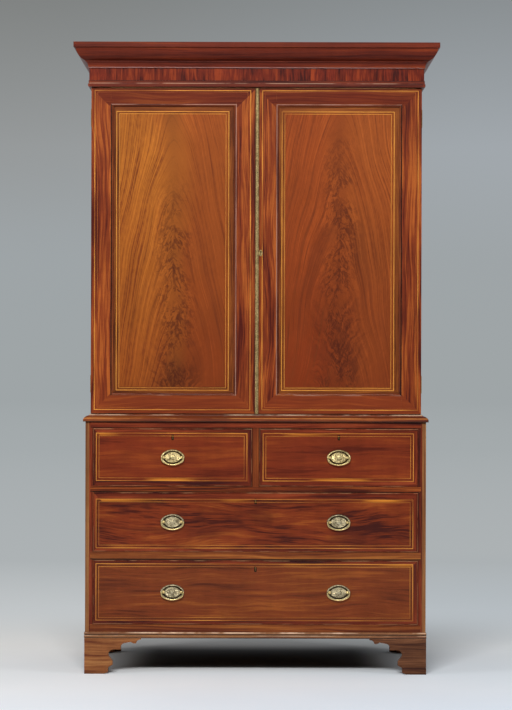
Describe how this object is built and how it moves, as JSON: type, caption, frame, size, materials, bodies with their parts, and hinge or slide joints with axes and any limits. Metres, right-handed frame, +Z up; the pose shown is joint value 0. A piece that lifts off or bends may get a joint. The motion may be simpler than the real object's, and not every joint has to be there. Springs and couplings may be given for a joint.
{
  "type": "linen press",
  "caption": "Mahogany linen press with panelled, strung doors over cock-beaded drawers with oval bail handles, moulded cornice, bracket feet and sliding trays within.",
  "frame": {"origin": "on the floor, under the middle of the overall width and depth", "axes": "+X to the right as seen from the front, +Y to the back, +Z up"},
  "size_m": [1.24, 0.591, 2.143],
  "materials": {
    "mahogany": "french polished",
    "flame_mahogany": "french polished, figured veneer",
    "oak": "unfinished, aged",
    "pine": "unfinished, aged",
    "brass": "aged, lacquer worn"
  },
  "bodies": {
    "case": {"foot_front_left": "mahogany", "foot_front_right": "mahogany", "foot_rear_left": "mahogany", "foot_rear_right": "mahogany", "base_moulding": "mahogany", "base_side_left": "mahogany", "base_side_right": "mahogany", "base_bottom": "pine", "base_top": "pine", "base_back_boards": "pine", "drawer_rails": "mahogany", "drawer_divider": "mahogany", "drawer_runners": "pine", "waist_moulding": "mahogany", "upper_side_left": "mahogany", "upper_side_right": "mahogany", "upper_bottom": "mahogany", "upper_top": "pine", "upper_back_boards": "pine", "tray_runners": "oak", "cornice_frame": "mahogany", "frieze_bead": "mahogany", "cornice_moulding": "mahogany", "hinge_case_leaves": "brass"},
    "right_door": {"right_door_frame": "mahogany", "right_door_panel": "flame_mahogany", "right_door_moulding": "mahogany", "right_door_hinge_leaves": "brass", "right_door_astragal": "brass", "right_door_lock": "brass"},
    "left_door": {"left_door_frame": "mahogany", "left_door_panel": "flame_mahogany", "left_door_moulding": "mahogany", "left_door_hinge_leaves": "brass"},
    "short_left_drawer": {"short_left_drawer_front": "mahogany", "short_left_drawer_box": "oak", "short_left_drawer_lock": "brass", "short_left_drawer_handle_plates": "brass"},
    "short_left_drawer_bail": {"short_left_drawer_bail": "brass"},
    "short_right_drawer": {"short_right_drawer_front": "mahogany", "short_right_drawer_box": "oak", "short_right_drawer_lock": "brass", "short_right_drawer_handle_plates": "brass"},
    "short_right_drawer_bail": {"short_right_drawer_bail": "brass"},
    "middle_drawer": {"middle_drawer_front": "mahogany", "middle_drawer_box": "oak", "middle_drawer_lock": "brass", "middle_drawer_handle_plates": "brass"},
    "middle_drawer_bail_left": {"middle_drawer_bail_left": "brass"},
    "middle_drawer_bail_right": {"middle_drawer_bail_right": "brass"},
    "bottom_drawer": {"bottom_drawer_front": "mahogany", "bottom_drawer_box": "oak", "bottom_drawer_lock": "brass", "bottom_drawer_handle_plates": "brass"},
    "bottom_drawer_bail_left": {"bottom_drawer_bail_left": "brass"},
    "bottom_drawer_bail_right": {"bottom_drawer_bail_right": "brass"},
    "tray_1": {"tray_1": "oak"},
    "tray_2": {"tray_2": "oak"},
    "tray_3": {"tray_3": "oak"},
    "tray_4": {"tray_4": "oak"}
  },
  "joints": [
    {"name": "right_door_hinge", "type": "hinge", "parent": "case", "child": "right_door", "pos_m": [0.5635, -0.2162, 1.43925], "axis": [0, 0, 1], "range_deg": [0, 180]},
    {"name": "left_door_hinge", "type": "hinge", "parent": "case", "child": "left_door", "pos_m": [-0.5635, -0.2162, 1.43925], "axis": [0, 0, -1], "range_deg": [0, 180]},
    {"name": "short_left_drawer_slide", "type": "slide", "parent": "case", "child": "short_left_drawer", "axis": [0, -1, 0], "range_m": [0, 0.38]},
    {"name": "short_left_drawer_bail_swing", "type": "hinge", "parent": "short_left_drawer", "child": "short_left_drawer_bail", "pos_m": [-0.2825, -0.264, 0.73635], "axis": [-1, 0, 0], "range_deg": [0, 165]},
    {"name": "short_right_drawer_slide", "type": "slide", "parent": "case", "child": "short_right_drawer", "axis": [0, -1, 0], "range_m": [0, 0.38]},
    {"name": "short_right_drawer_bail_swing", "type": "hinge", "parent": "short_right_drawer", "child": "short_right_drawer_bail", "pos_m": [0.2825, -0.264, 0.73635], "axis": [-1, 0, 0], "range_deg": [0, 165]},
    {"name": "middle_drawer_slide", "type": "slide", "parent": "case", "child": "middle_drawer", "axis": [0, -1, 0], "range_m": [0, 0.38]},
    {"name": "middle_drawer_bail_left_swing", "type": "hinge", "parent": "middle_drawer", "child": "middle_drawer_bail_left", "pos_m": [-0.2825, -0.264, 0.5165], "axis": [-1, 0, 0], "range_deg": [0, 165]},
    {"name": "middle_drawer_bail_right_swing", "type": "hinge", "parent": "middle_drawer", "child": "middle_drawer_bail_right", "pos_m": [0.2825, -0.264, 0.5165], "axis": [-1, 0, 0], "range_deg": [0, 165]},
    {"name": "bottom_drawer_slide", "type": "slide", "parent": "case", "child": "bottom_drawer", "axis": [0, -1, 0], "range_m": [0, 0.38]},
    {"name": "bottom_drawer_bail_left_swing", "type": "hinge", "parent": "bottom_drawer", "child": "bottom_drawer_bail_left", "pos_m": [-0.2825, -0.264, 0.2778], "axis": [-1, 0, 0], "range_deg": [0, 165]},
    {"name": "bottom_drawer_bail_right_swing", "type": "hinge", "parent": "bottom_drawer", "child": "bottom_drawer_bail_right", "pos_m": [0.2825, -0.264, 0.2778], "axis": [-1, 0, 0], "range_deg": [0, 165]},
    {"name": "tray_1_slide", "type": "slide", "parent": "case", "child": "tray_1", "axis": [0, -1, 0], "range_m": [0, 0.3]},
    {"name": "tray_2_slide", "type": "slide", "parent": "case", "child": "tray_2", "axis": [0, -1, 0], "range_m": [0, 0.3]},
    {"name": "tray_3_slide", "type": "slide", "parent": "case", "child": "tray_3", "axis": [0, -1, 0], "range_m": [0, 0.3]},
    {"name": "tray_4_slide", "type": "slide", "parent": "case", "child": "tray_4", "axis": [0, -1, 0], "range_m": [0, 0.3]}
  ],
  "couplings": [
    {"joint": "left_door_hinge", "follows": "right_door_hinge", "ratio": 1},
    {"joint": "tray_1_slide", "follows": "right_door_hinge", "m_per_rad": 0.0954},
    {"joint": "tray_2_slide", "follows": "right_door_hinge", "m_per_rad": 0.0954},
    {"joint": "tray_3_slide", "follows": "right_door_hinge", "m_per_rad": 0.0954},
    {"joint": "tray_4_slide", "follows": "right_door_hinge", "m_per_rad": 0.0954}
  ]
}
